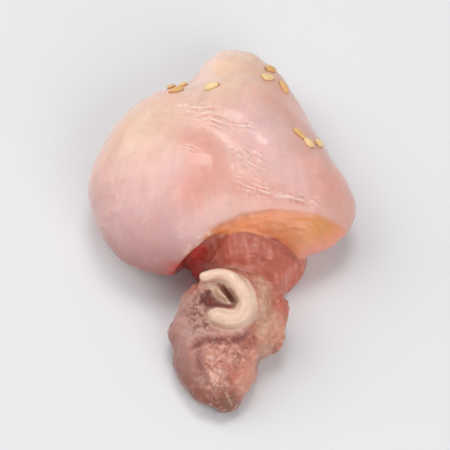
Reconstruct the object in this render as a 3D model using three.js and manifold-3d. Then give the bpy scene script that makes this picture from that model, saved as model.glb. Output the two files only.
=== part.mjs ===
import * as THREE from "three";
import { mergeVertices } from "three/addons/utils/BufferGeometryUtils.js";
import Module from "manifold-3d";

// One piece of raw, salted chicken thigh, cut for the grill, with sesame seeds on it.
// Millimetres, +Z up. The piece lies on its flat underside at z = 0. The round muscle is
// towards +Y and its cut end, with the curled tendon, towards -Y.

const MUSCLE_HALF_WIDTH = 26;
const MUSCLE_HEIGHT = 23;
const INNER_HALF_WIDTH = 13;
const INNER_HEIGHT = 15.3;
const END_HALF_WIDTH = 11.5;
const END_HEIGHT = 13;
const TENDON_RADIUS = 1.6;
const SEED_LENGTH = 3.2;
const SEED_WIDTH = 1.9;
const SEED_THICKNESS = 1.1;
const SEED_SINK = 0.25;

// How far each lobe reaches from its centre, as shares of its half width, at even angles
// from +X through +Y. The rim is the height of its widest level there, and fullness is how
// square its side is, with 2 for a round one.
const MUSCLE = {
  at: [0, 0],
  reach: [0.83, 0.75, 0.79, 0.93, 1.0, 0.74, 0.8, 0.88, 0.98, 1.08, 1.08, 0.96, 0.76, 0.81, 0.99, 1.06],
  rim: [8, 8, 8, 9, 10, 9, 9, 9, 9, 9, 8, 8, 9, 9, 8, 8],
  fullness: [1.8, 1.7, 1.8, 2.0, 2.1, 2.2, 2.3, 2.3, 2.3, 2.3, 2.3, 2.3, 2.2, 2.1, 2.0, 1.8],
};
const INNER = {
  at: [3.2, -15],
  reach: [1, 0.87, 0.85, 0.87],
  rim: [0, 0, 0, 0],
  fullness: [2, 2, 2, 2],
};
const END = {
  at: [1, -37],
  reach: [0.83, 1.0, 1.13, 1.15, 1.13, 1.13, 1.1, 1.04, 1.0, 1.0, 1.03, 1.1, 1.1, 0.8, 0.64, 0.54],
  rim: [7, 8, 8, 7, 6, 6, 6, 5, 4, 4, 3, 3, 3, 4, 5, 6],
  fullness: [2.6, 3.0, 3.6, 4.0, 4.0, 3.6, 3.0, 2.4, 2.2, 2.2, 2.4, 2.6, 2.6, 2.6, 2.8, 2.8],
};

// The muscle slopes down behind this line, and the cut end in front of the other.
const BACK_FALL = 0.18;
const BACK_FALL_FROM = 4;
const END_FALL = 0.3;
const END_FALL_FROM = -28;

// Soft folds on top of the muscle, in plan: a ridge down its right side and two furrows.
const FOLDS = [
  { line: [[6, 9], [9, -4], [18, -10]], rise: 1.0, spread: 3 },
  { line: [[-9, 5], [1, -3], [14, -13]], rise: -0.8, spread: 2.5 },
  { line: [[16, 12], [6, 17], [-6, 15]], rise: -0.9, spread: 2 },
];

// Ellipsoids: the arched hollow under the muscle's front edge, the flesh that joins the inner
// muscle to the cut end, and the pocket, the thin fold and the slot inside the tendon's curl.
const HOLLOW = { at: [2.9, -27, 0], radii: [14.3, 13.2, 20.5], detail: 9 };
const NECK = { at: [3.2, -25.5, 2], radii: [8.5, 5.5, 8], detail: 6 };
const POCKET = { at: [-1.3, -31, 13], radii: [3.8, 2.2, 2.5], detail: 3 };
const FOLD = { at: [-0.9, -29.9, 10.2], radii: [3.7, 0.45, 1.9], detail: 3, degrees: -37 };
const SLOT = { at: [0.8, -30.4, 12.5], radii: [3, 0.6, 3.4], detail: 3, degrees: -50 };

// The tendon's middle line on the cut end, in plan, from its thin tail to its rounded tip.
const TENDON_LINE = [
  [-4, -26.9],
  [-1.3, -26.3],
  [1.0, -27.2],
  [3.1, -29.6],
  [4.0, -31.9],
  [3.5, -34.1],
  [1.3, -35.1],
  [-1.4, -34.5],
];
const TENDON_TAIL = 0.7;
const TENDON_SINK = 0.3;

// Where sesame seeds cling, in plan: how many, and how far they stray from the spot.
const SEED_SPOTS = [
  { at: [-2.6, 11.3], count: 1, stray: 0 },
  { at: [-9.8, 13.4], count: 3, stray: 2.6 },
  { at: [9.5, 16.5], count: 3, stray: 3.2 },
  { at: [16.4, 1], count: 3, stray: 2.6 },
];
const SEED_TURN = 2.4;

const wasm = await Module();
wasm.setup();

// A closed three.js geometry as a solid that can be joined and cut.
function solidOf(geometry) {
  const loose = geometry.index ? geometry.toNonIndexed() : geometry;
  const bare = new THREE.BufferGeometry().setAttribute("position", loose.attributes.position);
  const welded = mergeVertices(bare, 1e-4);
  return new wasm.Manifold(
    new wasm.Mesh({
      numProp: 3,
      vertProperties: welded.attributes.position.array,
      triVerts: new Uint32Array(welded.index.array),
    }),
  );
}

function geometryOf(solid) {
  const mesh = solid.getMesh();
  const geometry = new THREE.BufferGeometry();
  geometry.setAttribute("position", new THREE.BufferAttribute(mesh.vertProperties, 3));
  geometry.setIndex(new THREE.BufferAttribute(mesh.triVerts, 1));
  geometry.computeVertexNormals();
  return geometry;
}

// Values set at even angles round a lobe, read smoothly at any angle.
function around(values) {
  const stops = values.map((value) => new THREE.Vector3(value, 0, 0));
  const curve = new THREE.CatmullRomCurve3(stops, true, "catmullrom", 0.5);
  return (angle) => curve.getPoint(THREE.MathUtils.euclideanModulo(angle / (2 * Math.PI), 1)).x;
}

// 1 on a line through points in plan, fading to nothing over a distance from it.
function along(points, x, y, spread) {
  let nearest = Infinity;
  for (let i = 1; i < points.length; i++) {
    const [ax, ay] = points[i - 1];
    const [bx, by] = points[i];
    const run = ((x - ax) * (bx - ax) + (y - ay) * (by - ay)) / ((bx - ax) ** 2 + (by - ay) ** 2);
    const t = THREE.MathUtils.clamp(run, 0, 1);
    nearest = Math.min(nearest, Math.hypot(x - ax - t * (bx - ax), y - ay - t * (by - ay)));
  }
  return Math.exp(-((nearest / spread) ** 2) / 2);
}

// A smooth unevenness between about -1 and 1, from waves that cross and bend one another.
function uneven(x, y, z, wave) {
  const turn = (2 * Math.PI) / wave;
  const bend = 1.5 * Math.sin(turn * (0.3 * y - 0.4 * x) + 1);
  const first = Math.sin(turn * (0.9 * x + 0.2 * y) + bend);
  const second = Math.sin(turn * (0.7 * y - 0.3 * x + 0.6 * z) - bend + 2);
  const third = Math.sin(turn * 1.6 * (0.4 * x + 0.5 * y - 0.8 * z) + bend + 4);
  return first * second * 0.7 + 0.3 * third;
}

// A lobe of flesh: a sphere drawn out to an outline, with a widest level, a top and an underside.
function lobe({ at, halfWidth, reach, rim, fullness, top, sink, detail, lift, wave }) {
  const sphere = new THREE.IcosahedronGeometry(1, detail).attributes.position;
  const geometry = mergeVertices(new THREE.BufferGeometry().setAttribute("position", sphere), 1e-4);
  const reachAt = around(reach);
  const rimAt = around(rim);
  const fullnessAt = around(fullness);
  const position = geometry.attributes.position;
  const v = new THREE.Vector3();
  for (let i = 0; i < position.count; i++) {
    v.fromBufferAttribute(position, i).normalize();
    const angle = Math.atan2(v.y, v.x);
    const power = 2 / fullnessAt(angle);
    const out = halfWidth * reachAt(angle) * Math.hypot(v.x, v.y) ** power;
    const x = at[0] + out * Math.cos(angle);
    const y = at[1] + out * Math.sin(angle);
    const climb = v.z > 0 ? top(x, y) - rimAt(angle) : rimAt(angle) + sink;
    position.setXYZ(i, x, y, rimAt(angle) + Math.sign(v.z) * climb * Math.abs(v.z) ** power);
  }
  geometry.computeVertexNormals();
  const normal = geometry.attributes.normal;
  for (let i = 0; i < position.count; i++) {
    v.fromBufferAttribute(position, i);
    const out = new THREE.Vector3().fromBufferAttribute(normal, i);
    v.addScaledVector(out, lift * uneven(v.x, v.y, v.z, wave));
    position.setXYZ(i, v.x, v.y, v.z);
  }
  return solidOf(geometry);
}

function ellipsoid({ at, radii, detail, degrees = 0 }) {
  const geometry = new THREE.IcosahedronGeometry(1, detail).scale(...radii);
  return solidOf(geometry.rotateZ(THREE.MathUtils.degToRad(degrees)).translate(...at));
}

function muscleTop(x, y) {
  const fall = BACK_FALL * Math.max(0, y - BACK_FALL_FROM);
  const folds = FOLDS.map(({ line, rise, spread }) => rise * along(line, x, y, spread));
  return MUSCLE_HEIGHT - fall + folds.reduce((sum, rise) => sum + rise, 0);
}

// The large round muscle: smooth and domed, with a point at the back.
function muscle() {
  return lobe({
    ...MUSCLE,
    halfWidth: MUSCLE_HALF_WIDTH,
    top: muscleTop,
    sink: 3,
    detail: 16,
    lift: 0.25,
    wave: 16,
  });
}

// The darker muscle that fills the back of the hollow.
function innerMuscle() {
  return lobe({
    ...INNER,
    halfWidth: INNER_HALF_WIDTH,
    top: () => INNER_HEIGHT,
    sink: INNER_HEIGHT,
    detail: 8,
    lift: 0.5,
    wave: 9,
  });
}

function endTop(y) {
  return END_HEIGHT + END_FALL * Math.min(0, y - END_FALL_FROM);
}

// The narrow cut end of the piece, which slopes down towards the front.
function cutEnd() {
  return lobe({
    ...END,
    halfWidth: END_HALF_WIDTH,
    top: (x, y) => endTop(y),
    sink: 2,
    detail: 11,
    lift: 0.7,
    wave: 9,
  });
}

// The pale tendon, curled back on itself on the cut end: a capsule bent along its line, thin
// at the tail and thick at the turn.
function tendon() {
  const curve = new THREE.CatmullRomCurve3(
    TENDON_LINE.map(([x, y]) => new THREE.Vector3(x, y, endTop(y) - TENDON_SINK)),
  );
  const length = curve.getLength();
  const geometry = new THREE.CapsuleGeometry(TENDON_RADIUS, length, 3, 10, 20);
  const position = geometry.attributes.position;
  const up = new THREE.Vector3(0, 0, 1);
  for (let i = 0; i < position.count; i++) {
    const v = new THREE.Vector3().fromBufferAttribute(position, i);
    const held = THREE.MathUtils.clamp(v.y, -length / 2, length / 2);
    const share = held / length + 0.5;
    const thickness = THREE.MathUtils.lerp(TENDON_TAIL, 1, THREE.MathUtils.smoothstep(share, 0, 0.5));
    const ahead = curve.getTangentAt(share);
    const side = ahead.clone().cross(up).normalize();
    const above = side.clone().cross(ahead);
    const bent = curve.getPointAt(share);
    bent.addScaledVector(ahead, (v.y - held) * thickness);
    bent.addScaledVector(side, v.x * thickness);
    bent.addScaledVector(above, v.z * thickness);
    position.setXYZ(i, bent.x, bent.y, bent.z);
  }
  return solidOf(geometry);
}

// A sesame seed, a flat drop with its narrow end ahead, lying on the flesh below a plan point.
function seed(flesh, x, y, turn) {
  const caster = new THREE.Raycaster();
  caster.set(new THREE.Vector3(x, y, 2 * MUSCLE_HEIGHT), new THREE.Vector3(0, 0, -1));
  const [hit] = caster.intersectObject(flesh);
  const geometry = new THREE.OctahedronGeometry(1, 1);
  const position = geometry.attributes.position;
  for (let i = 0; i < position.count; i++) {
    const narrow = 1 - 0.3 * position.getX(i);
    position.setY(i, position.getY(i) * narrow);
  }
  geometry.scale(SEED_LENGTH / 2, SEED_WIDTH / 2, SEED_THICKNESS / 2).rotateZ(turn);
  const lean = new THREE.Quaternion().setFromUnitVectors(new THREE.Vector3(0, 0, 1), hit.face.normal);
  geometry.applyQuaternion(lean);
  const centre = hit.point.addScaledVector(hit.face.normal, SEED_SINK);
  geometry.translate(centre.x, centre.y, centre.z);
  return solidOf(geometry);
}

// The seeds of each spot lie in a spiral round it, each turned on from the last.
function seeds(flesh) {
  const made = [];
  for (const { at, count, stray } of SEED_SPOTS) {
    for (let i = 0; i < count; i++) {
      const turn = SEED_TURN * made.length;
      const away = stray * Math.sqrt((i + 0.5) / count);
      const x = at[0] + away * Math.cos(turn);
      const y = at[1] + away * Math.sin(turn);
      made.push(seed(flesh, x, y, 2 * turn));
    }
  }
  return made;
}

const ground = solidOf(new THREE.BoxGeometry(200, 200, 20).translate(0, 0, -10));
const flesh = muscle()
  .subtract(ellipsoid(HOLLOW))
  .add(innerMuscle())
  .add(ellipsoid(NECK))
  .add(cutEnd())
  .subtract(ellipsoid(POCKET))
  .add(ellipsoid(FOLD))
  .subtract(ellipsoid(SLOT))
  .add(tendon())
  .subtract(ground);
const bare = new THREE.Mesh(geometryOf(flesh));
const seeded = seeds(bare).reduce((solid, each) => solid.add(each), flesh);

const piece = new THREE.Mesh(
  geometryOf(seeded),
  new THREE.MeshStandardMaterial({ color: 0xe3b3a6, roughness: 0.35, metalness: 0 }),
);
piece.name = "thigh_piece";

// The piece's middle, seen from above, is at the origin.
piece.geometry.computeBoundingBox();
const middle = piece.geometry.boundingBox.getCenter(new THREE.Vector3());
piece.geometry.translate(-middle.x, -middle.y, 0);

const group = new THREE.Group();
group.add(piece);

export default group;
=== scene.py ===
import math

import bmesh
import bpy
import numpy as np
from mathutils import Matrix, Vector, noise
from mathutils.bvhtree import BVHTree


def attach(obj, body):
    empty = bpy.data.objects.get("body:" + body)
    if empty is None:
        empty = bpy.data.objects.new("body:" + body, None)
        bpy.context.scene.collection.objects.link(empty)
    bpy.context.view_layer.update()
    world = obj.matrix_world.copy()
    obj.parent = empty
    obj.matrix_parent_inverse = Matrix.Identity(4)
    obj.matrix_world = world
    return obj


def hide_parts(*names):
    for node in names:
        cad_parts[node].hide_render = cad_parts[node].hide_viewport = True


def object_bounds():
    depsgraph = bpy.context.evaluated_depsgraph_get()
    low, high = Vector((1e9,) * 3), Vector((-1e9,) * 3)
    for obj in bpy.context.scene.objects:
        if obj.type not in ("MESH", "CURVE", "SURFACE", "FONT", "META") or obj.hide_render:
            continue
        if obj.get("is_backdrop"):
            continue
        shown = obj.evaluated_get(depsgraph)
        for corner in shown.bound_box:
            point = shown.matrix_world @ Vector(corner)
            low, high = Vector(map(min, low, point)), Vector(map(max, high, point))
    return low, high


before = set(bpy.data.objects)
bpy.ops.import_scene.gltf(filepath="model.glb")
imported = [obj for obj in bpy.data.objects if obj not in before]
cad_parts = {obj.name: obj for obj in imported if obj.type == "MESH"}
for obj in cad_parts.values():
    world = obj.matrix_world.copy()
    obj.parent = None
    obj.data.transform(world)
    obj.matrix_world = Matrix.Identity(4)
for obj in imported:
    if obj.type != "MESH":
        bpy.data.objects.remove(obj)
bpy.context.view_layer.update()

# Round thigh muscle
# The large muscle of a boned and skinned chicken thigh, a smooth dome under a thin wet skin
# of connective tissue. The cook cut it free with a knife, so its front edge is a clean lip
# over the meat that stays below. Sizes are in millimetres, as the meat lies on the board.

MM = 0.001
MUSCLE_HALF_WIDTH = 26
MUSCLE_HEIGHT = 23
MUSCLE = {
    "at": (0, 0),
    "reach": (0.83, 0.75, 0.79, 0.93, 1.0, 0.74, 0.8, 0.88, 0.98, 1.08, 1.08, 0.96, 0.76, 0.81, 0.99, 1.06),
    "rim": (8, 8, 8, 9, 10, 9, 9, 9, 9, 9, 8, 8, 9, 9, 8, 8),
    "fullness": (1.8, 1.7, 1.8, 2.0, 2.1, 2.2, 2.3, 2.3, 2.3, 2.3, 2.3, 2.3, 2.2, 2.1, 2.0, 1.8),
}
MUSCLE_SINK = 3
MUSCLE_LIFT = 0.25
MUSCLE_WAVE = 16
BACK_FALL = 0.18
BACK_FALL_FROM = 4
# Its ridge and its furrows, each by its line, its height and its spread.
FOLDS = (
    (((6, 9), (9, -4), (18, -10)), 1.0, 3),
    (((-9, 5), (1, -3), (14, -13)), -0.8, 2.5),
    (((16, 12), (6, 17), (-6, 15)), -0.9, 2),
)


def around(values, angle):
    """Values set at even angles from +X through +Y, read smoothly at any angle."""
    values = np.array(values, float)
    count = len(values)
    share = (angle / (2 * math.pi) % 1.0) * count
    stop = np.floor(share).astype(int)
    w = share - stop
    before, here, there, after = (values[(stop + k) % count] for k in (-1, 0, 1, 2))
    out, into = 0.5 * (there - before), 0.5 * (after - here)
    bend = 3 * (there - here) - 2 * out - into
    return here + w * (out + w * (bend + w * (2 * (here - there) + out + into)))


def along(line, x, y, spread):
    """1 on a line through points in plan, fading to nothing over a distance from it."""
    nearest = np.full(np.shape(x), 1e9)
    for (ax, ay), (bx, by) in zip(line, line[1:]):
        run = ((x - ax) * (bx - ax) + (y - ay) * (by - ay)) / ((bx - ax) ** 2 + (by - ay) ** 2)
        t = np.clip(run, 0, 1)
        nearest = np.minimum(nearest, np.hypot(x - ax - t * (bx - ax), y - ay - t * (by - ay)))
    return np.exp(-((nearest / spread) ** 2) / 2)


def uneven(points, wave):
    """A smooth unevenness between about -1 and 1, from waves that cross and bend one another."""
    x, y, z = points.T * (2 * math.pi / wave)
    bend = 1.5 * np.sin(0.3 * y - 0.4 * x + 1)
    first = np.sin(0.9 * x + 0.2 * y + bend)
    second = np.sin(0.7 * y - 0.3 * x + 0.6 * z - bend + 2)
    third = np.sin(1.6 * (0.4 * x + 0.5 * y - 0.8 * z) + bend + 4)
    return first * second * 0.7 + 0.3 * third


def ball(fineness):
    """A unit sphere of even triangles: its points and faces."""
    bm = bmesh.new()
    bmesh.ops.create_icosphere(bm, subdivisions=fineness, radius=1)
    points = np.array([v.co for v in bm.verts])
    faces = np.array([[v.index for v in f.verts] for f in bm.faces])
    bm.free()
    return points, faces


def normals_of(points, faces):
    """The outward direction at each point, averaged over its triangles."""
    a, b, c = (points[faces[:, k]] for k in range(3))
    face = np.cross(b - a, c - a)
    total = np.zeros_like(points)
    for k in range(3):
        np.add.at(total, faces[:, k], face)
    return total / np.linalg.norm(total, axis=1, keepdims=True)


def lobe(half_width, at, reach, rim, fullness, top, sink, lift, wave, fineness):
    """A lobe of flesh: a sphere drawn out to an outline, a widest level, a top and an underside."""
    v, faces = ball(fineness)
    angle = np.arctan2(v[:, 1], v[:, 0])
    power = 2 / around(fullness, angle)
    out = half_width * around(reach, angle) * np.hypot(v[:, 0], v[:, 1]) ** power
    x, y = at[0] + out * np.cos(angle), at[1] + out * np.sin(angle)
    level = around(rim, angle)
    climb = np.where(v[:, 2] > 0, top(x, y) - level, level + sink)
    z = level + np.sign(v[:, 2]) * climb * np.abs(v[:, 2]) ** power
    points = np.stack([x, y, z], axis=1)
    points += (lift * uneven(points, wave))[:, None] * normals_of(points, faces)
    return points, faces


def muscle_top(x, y):
    """How high the muscle stands, with its low ridge and its furrows."""
    fall = BACK_FALL * np.maximum(0, y - BACK_FALL_FROM)
    return MUSCLE_HEIGHT - fall + sum(rise * along(line, x, y, spread) for line, rise, spread in FOLDS)


def solid(name, points, faces):
    """A mesh object from points and faces, in millimetres while it is being shaped."""
    mesh = bpy.data.meshes.new(name)
    mesh.from_pydata(points.tolist(), [], [list(map(int, face)) for face in faces])
    made = bpy.data.objects.new(name, mesh)
    bpy.context.scene.collection.objects.link(made)
    return made


round_muscle = solid("round_muscle", *lobe(
    MUSCLE_HALF_WIDTH, **MUSCLE, top=muscle_top,
    sink=MUSCLE_SINK, lift=MUSCLE_LIFT, wave=MUSCLE_WAVE, fineness=7,
))

# Hollow under the lip
# Where the meat was pulled away from under the round muscle, an arched hollow is left. Its
# wall is bare cut flesh, and its upper edge is the lip.

HOLLOW_AT = (2.9, -27, 0)
HOLLOW_RADII = (14.3, 13.2, 20.5)


def turned(points, angle):
    """Points turned about the upright axis."""
    c, s = math.cos(angle), math.sin(angle)
    x, y, z = points.T
    return np.stack([c * x - s * y, s * x + c * y, z], axis=1)


def ellipsoid(at, radii, fineness, degrees=0.0):
    """An ellipsoid turned about its upright axis."""
    points, faces = ball(fineness)
    return turned(points * radii, math.radians(degrees)) + at, faces


def combine(body, tool, how):
    """Joins a tool solid to a body, or cuts it out, and leaves the tool for later measuring."""
    change = body.modifiers.new("cut", "BOOLEAN")
    change.operation, change.solver, change.object = how, "MANIFOLD", tool
    settle(body)


def settle(body):
    """Makes what the modifiers of a body do its own mesh."""
    evaluated = body.evaluated_get(bpy.context.evaluated_depsgraph_get())
    old, body.data = body.data, bpy.data.meshes.new_from_object(evaluated)
    body.modifiers.clear()
    bpy.data.meshes.remove(old)


hollow = solid("hollow", *ellipsoid(HOLLOW_AT, HOLLOW_RADII, 6))

# Inner muscle
# The darker muscle that fills the back of the hollow, torn rather than cut, so it is lumpy.
# A neck of the same flesh joins it to the cut end.

INNER_HALF_WIDTH = 13
INNER_HEIGHT = 15.3
INNER_LIFT = 0.5
INNER_WAVE = 9
INNER = {
    "at": (3.2, -15),
    "reach": (1, 0.87, 0.85, 0.87),
    "rim": (0, 0),
    "fullness": (2, 2),
}
NECK_AT = (3.2, -25.5, 2)
NECK_RADII = (8.5, 5.5, 8)

inner_muscle = solid("inner_muscle", *lobe(
    INNER_HALF_WIDTH, **INNER, top=lambda x, y: INNER_HEIGHT,
    sink=INNER_HEIGHT, lift=INNER_LIFT, wave=INNER_WAVE, fineness=6,
))
neck = solid("neck", *ellipsoid(NECK_AT, NECK_RADII, 5))

# Cut end
# The narrow end of the thigh by the knee, cut through across the grain, so its face is
# coarse and uneven, and it slopes down to the front.

END_HALF_WIDTH = 11.5
END_HEIGHT = 13
END = {
    "at": (1, -37),
    "reach": (0.83, 1.0, 1.13, 1.15, 1.13, 1.13, 1.1, 1.04, 1.0, 1.0, 1.03, 1.1, 1.1, 0.8, 0.64, 0.54),
    "rim": (7, 8, 8, 7, 6, 6, 6, 5, 4, 4, 3, 3, 3, 4, 5, 6),
    "fullness": (2.6, 3.0, 3.6, 4.0, 4.0, 3.6, 3.0, 2.4, 2.2, 2.2, 2.4, 2.6, 2.6, 2.6, 2.8, 2.8),
}
END_SINK = 2
END_LIFT = 0.7
END_WAVE = 9
END_FALL = 0.3
END_FALL_FROM = -28


def end_top(y):
    """How high the cut end stands."""
    return END_HEIGHT + END_FALL * np.minimum(0, y - END_FALL_FROM)


cut_end = solid("cut_end", *lobe(
    END_HALF_WIDTH, **END, top=lambda x, y: end_top(y),
    sink=END_SINK, lift=END_LIFT, wave=END_WAVE, fineness=6,
))

# Tendon
# The white tendon that tied the thigh muscles to the knee. It was cut through, and it curled
# back on itself on the cut end. A thin fold of it stands in a pocket beside a narrow slot.

TENDON_RADIUS = 1.6
TENDON_TAIL = 0.7
TENDON_SINK = 0.3
TENDON_LINE = (
    (-4, -26.9), (-1.3, -26.3), (1.0, -27.2), (3.1, -29.6),
    (4.0, -31.9), (3.5, -34.1), (1.3, -35.1), (-1.4, -34.5),
)
TENDON_STATIONS = 90
TENDON_END_STATIONS = 30
TENDON_SIDES = 28
POCKET = ((-1.3, -31.0, 13), (3.8, 2.2, 2.5))
CURL_FOLD = ((-0.9, -29.9, 10.2), (3.7, 0.45, 1.9))
CURL_SLOT = ((0.8, -30.4, 12.5), (3, 0.6, 3.4))
CURL_FOLD_TURN = -37
CURL_SLOT_TURN = -50


def smooth_line(stops, count):
    """Points at even steps on a smooth line through stops."""
    stops = np.array(stops, float)
    ends = np.vstack([2 * stops[0] - stops[1], stops, 2 * stops[-1] - stops[-2]])
    share = np.linspace(0, len(stops) - 1 - 1e-9, 12 * count)
    i = share.astype(int)
    w = (share - i)[:, None]
    a, b, c, d = (ends[i + k] for k in range(4))
    fine = 0.5 * (2 * b + w * (c - a + w * (2 * a - 5 * b + 4 * c - d + w * (3 * b - a - 3 * c + d))))
    gone = np.concatenate([[0], np.cumsum(np.linalg.norm(np.diff(fine, axis=0), axis=1))])
    steps = np.linspace(0, gone[-1], count)
    return np.stack([np.interp(steps, gone, fine[:, k]) for k in range(3)], axis=1), gone[-1]


def tendon_middle():
    """The smooth line that the tendon follows, sunk a little into the cut end, and its length."""
    return smooth_line([(x, y, end_top(y) - TENDON_SINK) for x, y in TENDON_LINE], TENDON_STATIONS)


def tendon_shape():
    """A round cord with rounded ends, thin at the tail and thick at the turn."""
    line, length = tendon_middle()
    ahead = np.gradient(line, axis=0)
    ahead /= np.linalg.norm(ahead, axis=1, keepdims=True)
    across = np.cross(ahead, (0, 0, 1))
    across /= np.linalg.norm(across, axis=1, keepdims=True)
    above = np.cross(across, ahead)
    stations = TENDON_STATIONS + TENDON_END_STATIONS
    reach = np.linspace(-TENDON_RADIUS, length + TENDON_RADIUS, stations)
    rings = []
    for s in reach:
        held = min(max(s, 0), length)
        share = held / length
        soft = min(share / 0.5, 1)
        thick = TENDON_TAIL + (1 - TENDON_TAIL) * soft * soft * (3 - 2 * soft)
        past = (s - held) * thick
        radius = math.sqrt(max((TENDON_RADIUS * thick) ** 2 - past**2, 1e-4))
        k = share * (TENDON_STATIONS - 1)
        i = min(int(k), TENDON_STATIONS - 2)
        mix = [(1 - k + i) * each[i] + (k - i) * each[i + 1] for each in (line, ahead, across, above)]
        turn = np.linspace(0, 2 * math.pi, TENDON_SIDES, endpoint=False)[:, None]
        rings.append(mix[0] + past * mix[1] + radius * (np.cos(turn) * mix[2] + np.sin(turn) * mix[3]))
    points = np.concatenate(rings)
    faces = []
    for r in range(len(rings) - 1):
        for k in range(TENDON_SIDES):
            a, b = r * TENDON_SIDES + k, r * TENDON_SIDES + (k + 1) % TENDON_SIDES
            faces.append((a, a + TENDON_SIDES, b + TENDON_SIDES, b))
    last = len(points) - TENDON_SIDES
    faces.append(range(TENDON_SIDES))
    faces.append(range(last + TENDON_SIDES - 1, last - 1, -1))
    return points, faces


tendon = solid("tendon", *tendon_shape())
pocket = solid("pocket", *ellipsoid(*POCKET, 5))
curl_fold = solid("curl_fold", *ellipsoid(*CURL_FOLD, 5, CURL_FOLD_TURN))
curl_slot = solid("curl_slot", *ellipsoid(*CURL_SLOT, 5, CURL_SLOT_TURN))

# The whole piece of flesh
# The muscles, fat and tendon are one piece of raw meat, grown together, wet all over with its
# own juice. It lies flat where it rests. Its surface shows fine grain, wrinkles and lumps.

# The mesh is made even, with points this far apart, and its creases are eased in a few passes.
GRAIN = 0.37
CREASE_PASSES = 4
MUSCLE_PASSES = 14
GROUND_DEPTH = 20
GROUND_SIDE = 200

flesh = bpy.data.objects.new("thigh_flesh", round_muscle.data.copy())
bpy.context.scene.collection.objects.link(flesh)
combine(flesh, hollow, "DIFFERENCE")
for grown in (inner_muscle, neck, cut_end):
    combine(flesh, grown, "UNION")
combine(flesh, pocket, "DIFFERENCE")
combine(flesh, curl_fold, "UNION")
combine(flesh, curl_slot, "DIFFERENCE")
combine(flesh, tendon, "UNION")

ground_corners = [(x, y, z) for z in (-GROUND_DEPTH, 0) for x, y in ((-1, -1), (1, -1), (1, 1), (-1, 1))]
ground = solid("ground", np.array(ground_corners) * (GROUND_SIDE / 2, GROUND_SIDE / 2, 1), [
    (3, 2, 1, 0), (4, 5, 6, 7), (0, 1, 5, 4), (1, 2, 6, 5), (2, 3, 7, 6), (3, 0, 4, 7),
])
combine(flesh, ground, "DIFFERENCE")
even = flesh.modifiers.new("even", "REMESH")
even.mode, even.voxel_size = "VOXEL", GRAIN
settle(flesh)

# The wrinkles, each by its middle, the direction it runs in, its length, width and step.
WRINKLES = (
    ((-5.2, 4.6), 172, 4.8, 2.3, 1.4),
    ((-1.8, 2.4), 160, 3.2, 1.4, 1.2),
    ((4.4, 0.6), 176, 3.2, 1.2, 1.3),
    ((4.4, -6.3), 152, 3.4, 1.9, 0.95),
    ((-6.4, -4.6), 155, 1.8, 0.8, 1.0),
    ((6.0, -11.8), 168, 3.8, 1.5, 0.95),
    ((13.0, -12.6), 178, 4.8, 1.0, 1.25),
)
WRINKLED_SHARE = 0.25
WRINKLED_ABOVE = 10
CUT_END_BEFORE = -26
TOP_SLOPE = 0.2


def patch(x, y, at, degrees, length, width):
    """How far a point is inside an oval patch in plan, and where it is along and across it."""
    c, s = math.cos(math.radians(degrees)), math.sin(math.radians(degrees))
    run, side = (x - at[0]) * c + (y - at[1]) * s, (y - at[1]) * c - (x - at[0]) * s
    return np.exp(-((run / length) ** 2 + (side / width) ** 2)), run, side


def is_detailed(middle, up):
    """Whether the surface here is wrinkled, or on the cut end's top, and so needs a finer mesh."""
    if middle.y < CUT_END_BEFORE:
        return up > TOP_SLOPE
    shares = [patch(middle.x, middle.y, *wrinkle[:4])[0] for wrinkle in WRINKLES]
    return middle.z > WRINKLED_ABOVE and up > 0 and max(shares) > WRINKLED_SHARE


# The mesh is twice as fine there, and plain where it only lies on the board.
FACES_DOWN = -0.99
FLAT_ANGLE = 0.02
bm = bmesh.new()
bm.from_mesh(flesh.data)
under = [f for f in bm.faces if f.normal.z < FACES_DOWN and f.calc_center_median().z < GRAIN]
under_edges = list(dict.fromkeys(e for f in under for e in f.edges))
under_points = list(dict.fromkeys(v for f in under for v in f.verts))
bmesh.ops.dissolve_limit(bm, angle_limit=FLAT_ANGLE, verts=under_points, edges=under_edges)
detailed = [f for f in bm.faces if is_detailed(f.calc_center_median(), f.normal.z)]
detailed_edges = list(dict.fromkeys(e for f in detailed for e in f.edges))
bmesh.ops.subdivide_edges(bm, edges=detailed_edges, cuts=1, use_grid_fill=True)
bmesh.ops.triangulate(bm, faces=bm.faces)
bm.to_mesh(flesh.data)
bm.free()


def read(items, key, width, kind=float):
    """A value of each point, edge or triangle of a mesh, in one row for each."""
    values = np.empty(len(items) * width, kind)
    items.foreach_get(key, values)
    return values.reshape(-1, width)


flesh.data.calc_loop_triangles()
place = read(flesh.data.vertices, "co", 3)
triangles = read(flesh.data.loop_triangles, "vertices", 3, int)
edges = read(flesh.data.edges, "vertices", 2, int)
count = len(place)
joined = np.bincount(edges.ravel(), minlength=count)


def eased(values, passes):
    """Values at the mesh's points, each moved half way to the middle of its neighbours'."""
    for _ in range(passes):
        total = np.zeros_like(values)
        np.add.at(total, edges[:, 0], values[edges[:, 1]])
        np.add.at(total, edges[:, 1], values[edges[:, 0]])
        shape = (-1,) + (1,) * (values.ndim - 1)
        values = 0.5 * values + 0.5 * total / joined.reshape(shape)
    return values


place = eased(place, CREASE_PASSES)

# A point belongs to a part within about half a millimetre of it, and isn't looked for beyond 3.
OWN_REACH = 0.45
SEARCH_REACH = 3.0


def share_of(*parts):
    """How much each point belongs to some parts: 1 on their surface, 0 a little way off it."""
    nearest = np.full(count, 1e9)
    for part in parts:
        tree = BVHTree.FromObject(part, bpy.context.evaluated_depsgraph_get())
        distance = [tree.find_nearest(p, SEARCH_REACH)[3] for p in place]
        nearest = np.minimum(nearest, [SEARCH_REACH if d is None else d for d in distance])
    return 1 / (1 + (nearest / OWN_REACH) ** 4)


def ramp(values, low, high):
    """0 below low, 1 above high and a smooth rise between."""
    t = np.clip((values - low) / (high - low), 0, 1)
    return t * t * (3 - 2 * t)


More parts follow.
